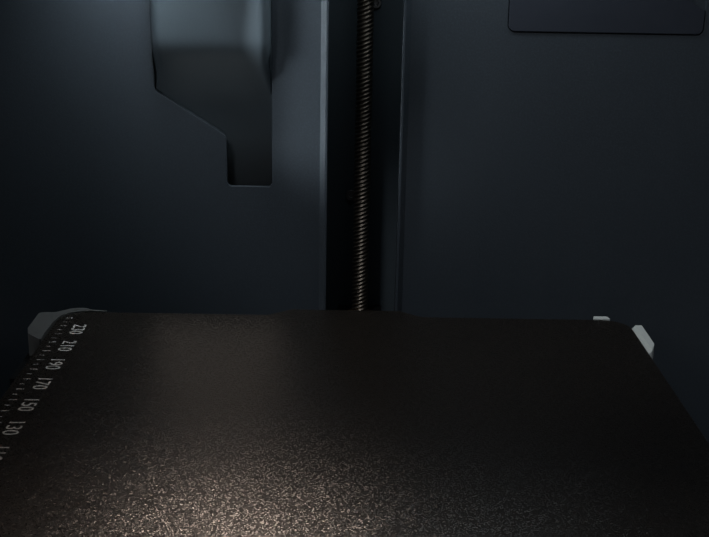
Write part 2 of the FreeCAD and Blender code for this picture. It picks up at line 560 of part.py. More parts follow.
hb = rbox(PX - h2, PX + h2, PY - h2 - 1, PY + h2 - 0.5, zt - 5, zt, 12)
hb = hb.fuse(rbox(PX - h2 + 4, PX + h2 - 4, PY - h2 + 4, PY + h2 - 6, zt - 8, zt - 5, 6))
node("heated_bed", hb.removeSplitter())

# light corner locators outside the plate's rear corners
gz0, gz1 = zt - 9, Z_PLATE + 0.3
gl = [(-136.6, 99.0), (-138.5, 105.5), (-138.7, 126.2), (-131.2, 127.2), (-125.8, 132.2), (-120.2, 133.7), (-116.0, 131.2), (-109.0, 130.3), (-109.0, 129.2), (-116.5, 129.4), (-123.0, 127.8), (-125.7, 125.7), (-127.8, 123.0), (-129.3, 116.5), (-129.8, 99.0), (-129.4, 92.0)]
gl = [(x + PX, y + PY) for x, y in gl]
guide_l = rpoly(gl, [1.5, 1.5, 2, 3, 3, 3, 2, 0.3, 0.3, 0, 0, 0, 0, 0, 1, 0.4], "z", gz0, gz1 - gz0)
gr1 = rpoly([(x + PX, y + PY) for x, y in [(113.6, 129.0), (121.2, 129.0), (120.6, 132.4), (114.2, 132.4)]], [0.3, 0.3, 0.8, 0.8], "z", gz0, gz1 - gz0)
gr2 = rpoly([(x + PX, y + PY) for x, y in [(129.0, 90.2), (130.8, 90.2), (133.6, 98.0), (133.8, 121.3), (129.0, 121.0)]], [0.3, 0.5, 2, 0.6, 0.4], "z", gz0, gz1 - gz0)
# light lead-in on the inner top edge of the right locator
gr2 = gr2.cut(poly([(PX + 128.9, gz1 + 0.1), (PX + 128.9, gz1 - 2.4), (PX + 130.9, gz1 + 0.1)], "y", PY + 85, 40))
node("corner_guides", guide_l, gr1, gr2)
# dark bracket that holds the locators to the carriage
br = []
br.append(box(PX - 136, PX - 118, PY + 72, PY + 126, zt - 13, zt - 9))
br.append(box(PX + 110, PX + 134, PY + 84, PY + 131, zt - 13, zt - 9))
car = [box(PX - 118, PX + 118, PY + 86, PY + 106, 158, 170), box(PX - 118, PX + 118, PY - 106, PY - 86, 158, 170)]
car += [box(PX - 118, PX - 98, PY - 106, PY + 106, 158, 170), box(PX + 98, PX + 118, PY - 106, PY + 106, 158, 170)]
car += [box(-183, PX - 98, -56, 16, 158, 168), box(PX + 98, 183, -56, 16, 158, 168)]
car += [box(REAR_SCREW[0] - 11, REAR_SCREW[0] + 11, PY + 90, 183, 158, 168)]
car += [box(PX - 136, PX - 98, PY + 72, PY + 104, 167, 170), box(PX + 98, PX + 134, PY + 84, PY + 104, 167, 170)]
car += [box(PX - 136, PX - 120, PY + 72, PY + 126, 167, 170), box(PX + 112, PX + 134, PY + 84, PY + 131, 167, 170)]
carriage = fuse(car)
carriage = carriage.cut([cyl(-SCREW_X, 0, 150, 8.0, 30), cyl(SCREW_X, 0, 150, 8.0, 30), cyl(REAR_SCREW[0], REAR_SCREW[1], 150, 7.0, 30), cyl(-SCREW_X, ROD_Y, 150, 7.5, 30), cyl(SCREW_X, ROD_Y, 150, 7.5, 30)])
carriage = carriage.fuse([box(PX - 138, PX - 131, PY + 73, PY + 127, 167, zt - 9), box(PX - 124, PX - 110, PY + 129.4, PY + 133, 167, zt - 9), box(PX - 138, PX - 112, PY + 122, PY + 133, 167, 170), box(PX + 130.4, PX + 134, PY + 90, PY + 121, 167, zt - 9), box(PX + 113.6, PX + 121, PY + 129.2, PY + 132.6, 167, zt - 9)])
node("bed_carriage", carriage.removeSplitter())
node("bed_screws", *[fuse([cyl(PX + sx * 108, PY + sy * 96, 170, 5.5, zt - 8 - 170), cyl(PX + sx * 108, PY + sy * 96, 154, 7.5, 4)]) for sx in (-1, 1) for sy in (-1, 1)])
nuts = []
for x, y, rr in ((-SCREW_X, 0, 8.0), (SCREW_X, 0, 8.0), (REAR_SCREW[0], REAR_SCREW[1], 7.0)):
    n = fuse([cyl(x, y, 146, rr, 22), cyl(x, y, 154.5, rr + 3.0, 3.5)]).cut(cyl(x, y, 140, SCREW_R + 0.1, 40))
    nuts.append(n)
nuts += [ring(sx * SCREW_X, ROD_Y, 150, 7.5, 4.08, 26) for sx in (-1, 1)]
node("lead_nuts", *nuts)

# ---------------------------------------------------------------- lead screws with their pulleys


def lead_screw(x, y, ztop):
    return cyl(x, y, 34, SCREW_R, ztop - 34)


for nm, x, y, ztop in (("left", -SCREW_X, 0, 380.5), ("right", SCREW_X, 0, 380.5), ("rear", REAR_SCREW[0], REAR_SCREW[1], 380.5)):
    node("lead_screw_" + nm, lead_screw(x, y, ztop).fuse(pulley(x, y, 37, 8.0, 6.0, 1.8)).removeSplitter())
node("z_motor_pulley", fuse([pulley(0, -60, 37, 8.0, 6.0, 1.8), cyl(0, -60, 33.2, 2.5, 3)]))

# ---------------------------------------------------------------- gantry
ends = []
for sx in (-1, 1):
    xs = sorted((sx * 156.5, sx * 187.0))
    e = box(xs[0], xs[1], GY - 22, GY + 17, 400, 424)
    e = fillet(e, 3, "z")
    xt = sorted((sx * 149.0, sx * 166.0))
    e = e.fuse(rbox(xt[0], xt[1], GY - 9, GY + 9, 424, 426.6, 3))
    e = e.fuse(cyl(sx * 156.6, GY, 426.0, 2.0, 17.2))
    e = e.cut(cyl(sx * YROD_X, GY - 40, Z_ROD, 4.08, 80, V(0, 1, 0)))
    for dy in (-11, 11):
        e = e.cut(cyl(sx * 140, GY + dy, Z_ROD, 5.0, 28, V(sx, 0, 0)))
    ends.append(e.removeSplitter())
node("gantry_ends", *ends)
node("x_rods", *[cyl(-168, GY + dy, Z_ROD, 5.0, 336, V(1, 0, 0)) for dy in (-11, 11)])
CB = 156.6 - 6.0
cross = []
for (z0, z1), s in zip(LV, (1, -1)):
    y0 = GY + s * 6.3
    y1 = GY + s * 7.3
    cross.append(box(-156.6, 156.6, min(y0, y1), max(y0, y1), z0 + 0.2, z1 - 0.2))
node("cross_belts", *cross)
for nm, sx in (("left", -1), ("right", 1)):
    p = fuse([ring(sx * 156.6, GY, 427.0, 7.0, 2.08, 0.9), ring(sx * 156.6, GY, 427.9, 5.9, 2.08, 6.6), ring(sx * 156.6, GY, 434.5, 7.0, 2.08, 1.0), ring(sx * 156.6, GY, 435.5, 5.9, 2.08, 6.6), ring(sx * 156.6, GY, 442.1, 7.0, 2.08, 0.8)])
    # the belts run 0.3 mm clear of the flanges' rims
    node("gantry_idler_" + nm, p.common(cyl(sx * 156.6, GY, 420, 6.0, 30)))
for nm, sx in (("left", -1), ("right", 1)):
    p = fuse([cyl(sx * PULX, PULYR, 394.8, 2.5, 48), cyl(sx * PULX, PULYR, 427.0, 6.0, 15.8), cyl(sx * PULX, PULYR, 426.2, 7.6, 0.9), cyl(sx * PULX, PULYR, 434.6, 7.6, 0.8), cyl(sx * PULX, PULYR, 442.2, 7.6, 0.8)])
    node("motor_pulley_" + nm, p)
    q = fuse([ring(sx * PULX, PULYF, 427.0, 6.0, 2.08, 15.8), ring(sx * PULX, PULYF, 426.2, 7.6, 2.08, 0.9), ring(sx * PULX, PULYF, 434.6, 7.6, 2.08, 0.8), ring(sx * PULX, PULYF, 442.2, 7.6, 2.08, 0.8)])
    node("front_idler_" + nm, q)
# ---------------------------------------------------------------- print head
HEADX = GX
head = fuse([box(HEADX - 22, HEADX + 22, GY - 22, GY + 20, 399, 423.4)])
head = fillet(head, 3, "z")
head = head.cut([cyl(HEADX - 30, GY + dy, Z_ROD, 5.1, 60, V(1, 0, 0)) for dy in (-11, 11)])
# clamps that take the two cross belts
for (z0, z1), s in zip(LV, (1, -1)):
    y0 = GY + s * 6.8
    c = box(HEADX - 9, HEADX + 9, y0 - 2.6, y0 + 2.6, 423, z1 + 0.6 if s > 0 else z1 + 0.6)
    head = head.fuse(c)
head = head.cut([box(HEADX - 12, HEADX + 12, GY + 6.0, GY + 7.6, 427.5, 434.5), box(HEADX - 12, HEADX + 12, GY - 7.6, GY - 6.0, 435.5, 442.3)])
head = head.removeSplitter()
node("head_carriage", head)
ny = GY + NOZZLE_DY
cov = rbox(HEADX - 28, HEADX + 28, GY - 66, GY - 22, 386, 423.4, 6)
cav = rbox(HEADX - 25.6, HEADX + 25.6, GY - 63.6, GY - 21, 388.4, 421, 4)
cov = cov.cut(cav)
cov = cov.cut(cyl(HEADX, GY - 70, 404, 14.6, 20, V(0, 1, 0)))
cov = cov.cut(box(HEADX - 12, HEADX + 12, ny - 10, ny + 8.6, 380, 390))
# hot end: heat sink, heater block and nozzle
fins = [cyl(HEADX, ny, 392 + i * 3.2, 7, 1.4) for i in range(5)] + [cyl(HEADX, ny, 389, 3.5, 17.5)]
hot = fuse(fins + [box(HEADX - 8, HEADX + 8, ny - 7, ny + 7, 378.5, 389)])
nozzle = fuse([cyl(HEADX, ny, 376, 3.2, 2.5), cone(HEADX, ny, NOZZLE_Z, 0.6, 2.4, 3.0)])
node("hot_end", hot.fuse([nozzle, box(HEADX - 4, HEADX + 4, ny + 2.0, GY - 22, 402, 405.5)]).removeSplitter())
# extruder gears, meshing above the hot end


def gear(cx, cy, z, ro, ri, teeth, h, phase=0.0, bore=0.0):
    pts = []
    for i in range(teeth):
        a0 = 2 * math.pi * i / teeth + phase
        p = 2 * math.pi / teeth
        for f, r in ((-0.27, ri), (-0.13, ro), (0.13, ro), (0.27, ri)):
            pts.append((cx + r * math.cos(a0 + f * p), cy + r * math.sin(a0 + f * p)))
    g = Part.Face(Part.makePolygon([V(x, y, 0) for x, y in pts] + [V(pts[0][0], pts[0][1], 0)])).extrude(V(0, 0, h))
    g.translate(V(0, 0, z))
    return g


# gears turn about Y: built in XY, then laid back
def lay(g, x, y, z):
    g = g.copy()
    g.rotate(V(0, 0, 0), V(1, 0, 0), 90)
    g.translate(V(x, y, z))
    return g


TEETH, MOD = 17, 0.7
rp = TEETH * MOD / 2
gd = gear(0, 0, 0, rp + 0.55, rp - 0.75, TEETH, 5.0)
gi = gear(0, 0, 0, rp + 0.55, rp - 0.75, TEETH, 5.0, math.pi + math.pi / TEETH)
GXD = rp + 0.12
node("extruder_gear_drive", lay(gd.fuse(cyl(0, 0, -6, 2.0, 14)), HEADX - GXD, ny + 0.0, 414.2))
node("extruder_gear_idler", lay(gi.fuse(cyl(0, 0, -6, 2.0, 14)), HEADX + GXD, ny + 0.0, 414.2))
# fan in the head cover's front
node("head_fan_rotor", rotor(HEADX, GY - 63.0, 404, 5.5, 13.6, 6.0, V(0, 1, 0), 7, 1.0))
spider = fuse([box(HEADX - 26, HEADX + 26, GY - 56, GY - 54.6, 401, 407), cyl(HEADX, GY - 56.9, 404, 5, 2.3, V(0, 1, 0))])
node("head_cover", cov.fuse(spider).removeSplitter())

for name, s in NODES.items():
    assert s.isValid(), name
    for k in s.Solids:
        assert k.isValid() and k.Volume > 0, name
    s.exportStep("parts/%s.step" % name)
print(len(NODES), "nodes")
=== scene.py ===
import bpy, bmesh, json, math
from mathutils import Matrix, Vector

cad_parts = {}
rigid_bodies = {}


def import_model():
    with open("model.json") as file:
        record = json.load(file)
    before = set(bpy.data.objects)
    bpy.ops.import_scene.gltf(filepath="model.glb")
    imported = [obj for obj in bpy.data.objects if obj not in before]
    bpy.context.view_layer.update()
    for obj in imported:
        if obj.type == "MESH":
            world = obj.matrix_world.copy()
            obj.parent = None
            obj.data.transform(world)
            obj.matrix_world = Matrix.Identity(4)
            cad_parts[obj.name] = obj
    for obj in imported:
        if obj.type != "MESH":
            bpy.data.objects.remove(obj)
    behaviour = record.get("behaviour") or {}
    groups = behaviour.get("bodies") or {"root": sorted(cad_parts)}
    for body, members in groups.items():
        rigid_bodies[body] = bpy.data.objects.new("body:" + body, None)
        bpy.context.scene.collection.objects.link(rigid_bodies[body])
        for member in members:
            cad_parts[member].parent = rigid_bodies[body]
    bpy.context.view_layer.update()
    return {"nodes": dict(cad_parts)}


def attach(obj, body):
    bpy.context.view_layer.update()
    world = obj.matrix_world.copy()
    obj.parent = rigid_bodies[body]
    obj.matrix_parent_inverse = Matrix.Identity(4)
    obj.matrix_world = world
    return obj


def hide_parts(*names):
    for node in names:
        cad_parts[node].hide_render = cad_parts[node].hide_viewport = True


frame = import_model()
NODES = frame["nodes"]
MM = 0.001

# ------------------------------------------------------------------ shared positions, as in the solid model (mm)
PX, PY, PZ = -4.0, -10.0, 185.0        # centre of the build plate's top
Y_LINER = 150.0
REAR = (PX + 7.2, 172.0)
GX, GY = -45.0, 100.0
NY = GY - 29.2
HINGE = (188.5, -200.0)
HX = 194.5
HALF = 194.5

# ------------------------------------------------------------------ material helpers


class Nodes:
    def __init__(self, name):
        m = bpy.data.materials.new(name)
        m.use_nodes = True
        self.mat = m
        self.t = m.node_tree
        self.bsdf = [n for n in self.t.nodes if n.type == "BSDF_PRINCIPLED"][0]
        self.out = [n for n in self.t.nodes if n.type == "OUTPUT_MATERIAL"][0]
        self.tc = self.t.nodes.new("ShaderNodeTexCoord")

    def new(self, kind, **k):
        n = self.t.nodes.new(kind)
        for a, b in k.items():
            if hasattr(n, a):
                setattr(n, a, b)
            else:
                n.inputs[a.replace("_", " ")].default_value = b
        return n

    def link(self, a, b):
        self.t.links.new(a, b)

    def noise(self, scale, detail=3.0, rough=0.55, stretch=None, seed=0.0):
        src = self.tc.outputs["Object"]
        if stretch or seed:
            mp = self.new("ShaderNodeMapping")
            mp.inputs["Scale"].default_value = stretch or (1, 1, 1)
            mp.inputs["Location"].default_value = (seed, seed * 0.7, seed * 1.3)
            self.link(src, mp.inputs["Vector"])
            src = mp.outputs["Vector"]
        n = self.new("ShaderNodeTexNoise")
        n.inputs["Scale"].default_value = scale
        n.inputs["Detail"].default_value = detail
        n.inputs["Roughness"].default_value = rough
        self.link(src, n.inputs["Vector"])
        return n.outputs["Fac"]

    def voronoi(self, scale, feature="F1", out="Distance"):
        n = self.new("ShaderNodeTexVoronoi")
        n.feature = feature
        n.inputs["Scale"].default_value = scale
        self.link(self.tc.outputs["Object"], n.inputs["Vector"])
        return n.outputs[out]

    def ramp(self, src, stops):
        r = self.new("ShaderNodeValToRGB")
        e = r.color_ramp.elements
        while len(e) < len(stops):
            e.new(0.5)
        for el, (p, c) in zip(e, stops):
            el.position = p
            el.color = (*c, 1.0) if len(c) == 3 else c
        self.link(src, r.inputs["Fac"])
        return r.outputs["Color"]

    def maprange(self, src, a, b, c, d):
        r = self.new("ShaderNodeMapRange")
        for i, v in zip(("From Min", "From Max", "To Min", "To Max"), (a, b, c, d)):
            r.inputs[i].default_value = v
        self.link(src, r.inputs["Value"])
        return r.outputs["Result"]

    def mix(self, fac, a, b, mode="MIX"):
        m = self.new("ShaderNodeMix")
        m.data_type = "RGBA"
        m.blend_type = mode
        for sock, v in ((m.inputs[0], fac), (m.inputs[6], a), (m.inputs[7], b)):
            if isinstance(v, (int, float)):
                sock.default_value = v
            elif isinstance(v, tuple):
                sock.default_value = (*v, 1.0)
            else:
                self.link(v, sock)
        return m.outputs[2]

    def math(self, op, a, b=None):
        m = self.new("ShaderNodeMath")
        m.operation = op
        for i, v in enumerate((a, b)):
            if v is None:
                continue
            if isinstance(v, (int, float)):
                m.inputs[i].default_value = v
            else:
                self.link(v, m.inputs[i])
        return m.outputs[0]

    def bump(self, height, strength, dist, normal=None):
        b = self.new("ShaderNodeBump")
        b.inputs["Strength"].default_value = strength
        b.inputs["Distance"].default_value = dist
        self.link(height, b.inputs["Height"])
        if normal is not None:
            self.link(normal, b.inputs["Normal"])
        return b.outputs["Normal"]

    def set(self, **k):
        names = {"color": "Base Color", "rough": "Roughness", "metal": "Metallic", "spec": "Specular IOR Level", "normal": "Normal",
                 "coat": "Coat Weight", "coat_rough": "Coat Roughness", "alpha": "Alpha", "ior": "IOR", "emit": "Emission Color", "emit_s": "Emission Strength",
                 "trans": "Transmission Weight", "aniso": "Anisotropic"}
        for a, v in k.items():
            s = self.bsdf.inputs[names[a]]
            if isinstance(v, (int, float)):
                s.default_value = v
            elif isinstance(v, tuple):
                s.default_value = (*v, 1.0)
            else:
                self.link(v, s)
        return self.mat


def shade(c, k):
    return tuple(min(1.0, max(0.0, v * k)) for v in c)


def plastic(name, c, rough=0.5, grain=1500.0, depth=0.00006, strength=0.35, var=0.12, spec=0.5, coat=0.0, broad=9.0):
    """Moulded or coated surface: fine spark grain, a slow drift in colour and in gloss, and a few rubbed spots."""
    n = Nodes(name)
    slow = n.noise(broad, 4.0)
    fine = n.noise(grain, 2.0, 0.6)
    mid = n.noise(grain * 0.16, 3.0)
    col = n.ramp(slow, [(0.3, shade(c, 1 - var)), (0.7, shade(c, 1 + var))])
    col = n.mix(n.maprange(fine, 0.35, 0.7, 0.0, 0.35), col, shade(c, 1 + 2.2 * var))
    r = n.maprange(n.math("ADD", n.math("MULTIPLY", mid, 0.5), n.math("MULTIPLY", slow, 0.5)), 0.3, 0.7, max(0.03, rough - 0.07), min(1.0, rough + 0.07))
    nor = n.bump(fine, strength, depth, n.bump(mid, strength * 0.5, depth * 2.0))
    return n.set(color=col, rough=r, spec=spec, normal=nor, coat=coat)


def metal(name, c, rough=0.3, brush=None, metallic=1.0, var=0.1, depth=0.00003, grain=900.0):
    """Metal, brushed or turned along the axis given by brush: "x", "y" or "z"."""
    n = Nodes(name)
    st = {"x": (0.03, 1, 1), "y": (1, 0.03, 1), "z": (1, 1, 0.03), None: (1, 1, 1)}[brush]
    line = n.noise(grain, 3.0, 0.6, st)
    slow = n.noise(22.0, 4.0, 0.6, (1, 1, 1), 3.1)
    col = n.ramp(line, [(0.3, shade(c, 1 - var)), (0.7, shade(c, 1 + var))])
    col = n.mix(n.maprange(slow, 0.35, 0.75, 0.0, 0.3), col, shade(c, 1 - 2.5 * var))
    r = n.maprange(line, 0.25, 0.75, max(0.04, rough - 0.08), rough + 0.1)
    return n.set(color=col, rough=r, metal=metallic, normal=n.bump(line, 0.35, depth))


def rubber(name, c=(0.02, 0.02, 0.021), rough=0.75):
    n = Nodes(name)
    fine = n.noise(1900.0, 2.0)
    slow = n.noise(30.0, 4.0)
    col = n.ramp(slow, [(0.3, shade(c, 0.75)), (0.7, shade(c, 1.35))])
    return n.set(color=col, rough=n.maprange(fine, 0.3, 0.7, rough - 0.08, rough + 0.1), spec=0.35, normal=n.bump(fine, 0.4, 0.00008))


def glass(name, c, alpha, rough=0.04):
    n = Nodes(name)
    smear = n.noise(14.0, 5.0, 0.6, (1, 1, 2.2))
    m = n.set(color=n.ramp(smear, [(0.3, shade(c, 0.9)), (0.7, shade(c, 1.1))]), rough=n.maprange(smear, 0.35, 0.75, rough, rough + 0.07), spec=0.6,
              alpha=n.maprange(smear, 0.3, 0.7, alpha - 0.015, alpha + 0.015))
    m.surface_render_method = "BLENDED"
    return m


# ------------------------------------------------------------------ materials
M = {}
M["case"] = plastic("case_coat", (0.095, 0.1, 0.108), 0.42, 1300, 0.00007, 0.4, 0.1)
M["base"] = plastic("base_plastic", (0.035, 0.036, 0.04), 0.5, 1100, 0.00008, 0.45, 0.12)
M["foot"] = rubber("foot_rubber")
M["floor_pan"] = plastic("floor_coat", (0.022, 0.025, 0.031), 0.45, 1200)
M["post"] = metal("post_anodised", (0.06, 0.063, 0.068), 0.42, "z")
M["channel"] = plastic("channel_plastic", (0.028, 0.037, 0.045), 0.75, 900, 0.00008, 0.3, 0.15, 0.25)
M["chute"] = plastic("chute_plastic", (0.062, 0.08, 0.096), 0.5, 1300, 0.00006, 0.3, 0.08)


def darker_below(m, z0, z1, k):
    """Painted shade: the colour of material m falls to k of itself below height z0 (m), from full at z1."""
    t = m.node_tree
    b = [q for q in t.nodes if q.type == "BSDF_PRINCIPLED"][0]
    src = b.inputs["Base Color"].links[0].from_socket
    tc = t.nodes.new("ShaderNodeTexCoord")
    sep = t.nodes.new("ShaderNodeSeparateXYZ")
    t.links.new(tc.outputs["Object"], sep.inputs[0])
    mr = t.nodes.new("ShaderNodeMapRange")
    mr.interpolation_type = "SMOOTHSTEP"
    for q, v in zip(("From Min", "From Max", "To Min", "To Max"), (z0, z1, k, 1.0)):
        mr.inputs[q].default_value = v
    t.links.new(sep.outputs[2], mr.inputs["Value"])
    mx = t.nodes.new("ShaderNodeMix")
    mx.data_type = "RGBA"
    mx.blend_type = "MULTIPLY"
    mx.inputs[0].default_value = 1.0
    t.links.new(src, mx.inputs[6])
    t.links.new(mr.outputs["Result"], mx.inputs[7])
    t.links.new(mx.outputs[2], b.inputs["Base Color"])


# painted shade: the chute's recessed lower part is darkened in its colour, in place of the shadow under the hood
darker_below(M["chute"], 0.235, 0.292, 0.12)
M["filter"] = plastic("filter_plastic", (0.017, 0.0215, 0.032), 0.5, 1400, 0.00007, 0.35, 0.1)
M["screen"] = plastic("screen_gloss", (0.006, 0.0065, 0.008), 0.1, 300, 0.00001, 0.05, 0.2, 0.6, 0.4)
M["rod"] = metal("ground_rod", (0.62, 0.62, 0.63), 0.22, "y")
M["rod_x"] = metal("carbon_rod", (0.03, 0.03, 0.033), 0.3, "x", 0.4)
M["motor"] = plastic("motor_coat", (0.02, 0.02, 0.022), 0.4)
M["belt"] = rubber("belt_rubber", (0.014, 0.014, 0.015), 0.7)
M["bearing"] = metal("bearing_block", (0.35, 0.35, 0.36), 0.4, None)
M["supply"] = metal("supply_case", (0.5, 0.51, 0.52), 0.35, "x")
M["board"] = plastic("board_green", (0.015, 0.09, 0.05), 0.4)
M["inlet"] = plastic("inlet_plastic", (0.012, 0.012, 0.013), 0.38)
M["fan"] = plastic("fan_plastic", (0.014, 0.014, 0.016), 0.42)
M["wiper"] = rubber("wiper_silicone", (0.35, 0.05, 0.03), 0.6)
M["spool"] = plastic("spool_plastic", (0.02, 0.02, 0.023), 0.45)
M["screw"] = metal("screw_steel", (0.16, 0.16, 0.165), 0.32)
M["hinge"] = metal("hinge_anodised", (0.05, 0.052, 0.056), 0.38, "z")
M["glass_door"] = glass("smoked_glass", (0.05, 0.06, 0.065), 0.42)
M["glass_lid"] = glass("clear_glass", (0.28, 0.33, 0.34), 0.2)
M["handle"] = metal("handle_anodised", (0.12, 0.122, 0.13), 0.34, "z")
M["gasket"] = plastic("gasket_plastic", (0.02, 0.02, 0.023), 0.55)
M["bed"] = metal("bed_aluminium", (0.12, 0.118, 0.115), 0.45, "x")
M["guide"] = plastic("guide_plastic", (0.46, 0.5, 0.5), 0.5, 1300, 0.00008, 0.4, 0.1)
# painted shade: a darker copy of the guide plastic for the left guide, in place of the shadow that falls on it
M["guide_dark"] = plastic("guide_plastic_painted_shade", (0.05, 0.053, 0.055), 0.5, 1300, 0.00008, 0.4, 0.1)
M["carriage"] = metal("carriage_anodised", (0.045, 0.046, 0.05), 0.45, "x")
M["thread"] = metal("thread_steel", (0.11, 0.095, 0.08), 0.4, None, 0.95, 0.25, 0.00006, 500)
M["brass"] = metal("nut_brass", (0.6, 0.42, 0.18), 0.32, None)
M["pulley"] = metal("pulley_aluminium", (0.55, 0.55, 0.56), 0.3, None)
M["carr_plastic"] = plastic("carriage_plastic", (0.03, 0.03, 0.034), 0.45)
M["head"] = plastic("head_plastic", (0.42, 0.43, 0.44), 0.45, 1400, 0.00006, 0.3, 0.05)
M["hot"] = metal("hot_end_metal", (0.6, 0.6, 0.6), 0.3, None)
M["gear"] = metal("gear_steel", (0.55, 0.55, 0.56), 0.25, None)
M["switch"] = plastic("switch_plastic", (0.012, 0.012, 0.013), 0.25)


def lamp_material():
    n = Nodes("lamp_diffuser")
    f = n.noise(700.0, 3.0)
    slow = n.noise(40.0, 2.0)
    col = n.ramp(slow, [(0.3, (0.78, 0.79, 0.8)), (0.7, (0.88, 0.88, 0.88))])
    return n.set(color=col, rough=n.maprange(f, 0.3, 0.7, 0.45, 0.6), normal=n.bump(f, 0.2, 0.00004))


M["lamp"] = lamp_material()


def liner_material():
    """Dark blue-grey moulded wall: spark-eroded grain and faint long scuffs."""
    n = Nodes("liner_plastic")
    slow = n.noise(5.0, 4.0)
    fine = n.noise(1100.0, 2.0, 0.65)
    mid = n.noise(240.0, 4.0, 0.6)
    scuff = n.noise(60.0, 6.0, 0.7, (1.0, 1.0, 0.12), 5.0)
    base = (0.0245, 0.032, 0.0415)
    col = n.ramp(slow, [(0.3, shade(base, 0.9)), (0.7, shade(base, 1.1))])
    col = n.mix(n.maprange(fine, 0.45, 0.75, 0.0, 0.45), col, shade(base, 1.8))
    col = n.mix(n.maprange(scuff, 0.66, 0.74, 0.0, 0.25), col, (0.06, 0.065, 0.078))
    r = n.maprange(n.math("ADD", n.math("MULTIPLY", mid, 0.6), n.math("MULTIPLY", scuff, 0.4)), 0.35, 0.65, 0.46, 0.62)
    nor = n.bump(fine, 0.5, 0.00009, n.bump(mid, 0.35, 0.00012))
    return n.set(color=col, rough=r, spec=0.45, normal=nor)


M["liner"] = liner_material()


def facets(n, scale, k, normal=None):
    """Normal of small flat grains, each tilted its own way; returns the normal and the grain's random colour."""
    cell = n.new("ShaderNodeTexVoronoi")
    cell.inputs["Scale"].default_value = scale
    n.link(n.tc.outputs["Object"], cell.inputs["Vector"])
    sub = n.new("ShaderNodeVectorMath")
    sub.operation = "SUBTRACT"
    n.link(cell.outputs["Color"], sub.inputs[0])
    sub.inputs[1].default_value = (0.5, 0.5, 0.5)
    mul = n.new("ShaderNodeVectorMath")
    mul.operation = "SCALE"
    n.link(sub.outputs[0], mul.inputs[0])
    mul.inputs["Scale"].default_value = k
    geo = n.new("ShaderNodeNewGeometry")
    base = geo.outputs["Normal"] if normal is None else normal
    tot = n.new("ShaderNodeVectorMath")
    tot.operation = "ADD"
    n.link(base, tot.inputs[0])
    n.link(mul.outputs[0], tot.inputs[1])
    nor = n.new("ShaderNodeVectorMath")
    nor.operation = "NORMALIZE"
    n.link(tot.outputs[0], nor.inputs[0])
    return nor.outputs[0], cell.outputs["Color"]


def plate_material():
    """Textured powder-coated plate: an all-over sandy grain whose facets catch the light, brown-black with warm sparkle."""
    n = Nodes("plate_coating")
    lumps = n.noise(1300.0, 2.0, 0.6)
    slow = n.noise(9.0, 3.0)
    nor, rnd = facets(n, 2600.0, 0.3, n.bump(lumps, 0.12, 0.0001))
    sep = n.new("ShaderNodeSeparateColor")
    n.link(rnd, sep.inputs["Color"])
    base = (0.0085, 0.0072, 0.0062)
    col = n.ramp(slow, [(0.3, shade(base, 0.92)), (0.7, shade(base, 1.08))])
    grain = n.ramp(sep.outputs[0], [(0.0, (0.35, 0.35, 0.36)), (0.5, (0.8, 0.79, 0.78)), (0.85, (1.5, 1.46, 1.4)), (1.0, (3.0, 2.8, 2.6))])
    col = n.mix(1.0, col, grain, "MULTIPLY")
    return n.set(color=col, rough=n.maprange(sep.outputs[1], 0.0, 1.0, 0.24, 0.4), spec=0.4, normal=nor)


M["plate"] = plate_material()


def ink_material():
    n = Nodes("printed_ink")
    f = n.noise(1600.0, 2.0)
    return n.set(color=n.ramp(f, [(0.3, (0.3, 0.3, 0.3)), (0.7, (0.5, 0.5, 0.49))]), rough=n.maprange(f, 0.3, 0.7, 0.45, 0.65), normal=n.bump(f, 0.5, 0.0001))


M["ink"] = ink_material()

# ------------------------------------------------------------------ mesh helpers


def add(name, me, body, mats, node=None):
    o = bpy.data.objects.new(name, me)
    bpy.context.scene.collection.objects.link(o)
    for m in (mats if isinstance(mats, (list, tuple)) else [mats]):
        me.materials.append(m)
    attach(o, body)
    if node:
        for nn in (node if isinstance(node, (list, tuple)) else [node]):
            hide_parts(nn)
    return o


def flat_smooth(bm, angle=32):
    lim = math.radians(angle)
    for f in bm.faces:
        f.smooth = True
    for e in bm.edges:
        if len(e.link_faces) == 2:
            try:
                a = e.link_faces[0].normal.angle(e.link_faces[1].normal)
            except ValueError:
                a = math.pi
            e.smooth = a < lim
        else:
            e.smooth = False


def refine(node, body, mat, bevel=0.6, seg=2, angle=32, limit=28, name=None):
    """A finished copy of a CAD node: joined faces, rounded edges and smooth curves in place of its facets."""
    src = NODES[node]
    bm = bmesh.new()
    bm.from_mesh(src.data)
    bmesh.ops.remove_doubles(bm, verts=bm.verts, dist=2e-6)
    bmesh.ops.dissolve_degenerate(bm, dist=1e-6, edges=bm.edges)
    bmesh.ops.dissolve_limit(bm, angle_limit=math.radians(0.6), verts=bm.verts, edges=bm.edges, delimit=set())
    bm.normal_update()
    flat_smooth(bm, angle)
    me = bpy.data.meshes.new(name or node + "_fine")
    bm.to_mesh(me)
    bm.free()
    o = add(name or node + "_fine", me, body, mat, node)
    if bevel:
        b = o.modifiers.new("edges", "BEVEL")
        b.width = bevel * MM
        b.segments = seg
        b.limit_method = "ANGLE"
        b.angle_limit = math.radians(limit)
        b.use_clamp_overlap = True
        b.miter_outer = "MITER_SHARP"
        b.harden_normals = True
    return o


def paint(node, mat, bevel=None):
    """A CAD node kept as it is, with its own material."""
    o = NODES[node]
    o.data.materials.clear()
    o.data.materials.append(mat)
    for p in o.data.polygons:
        p.material_index = 0
    return o


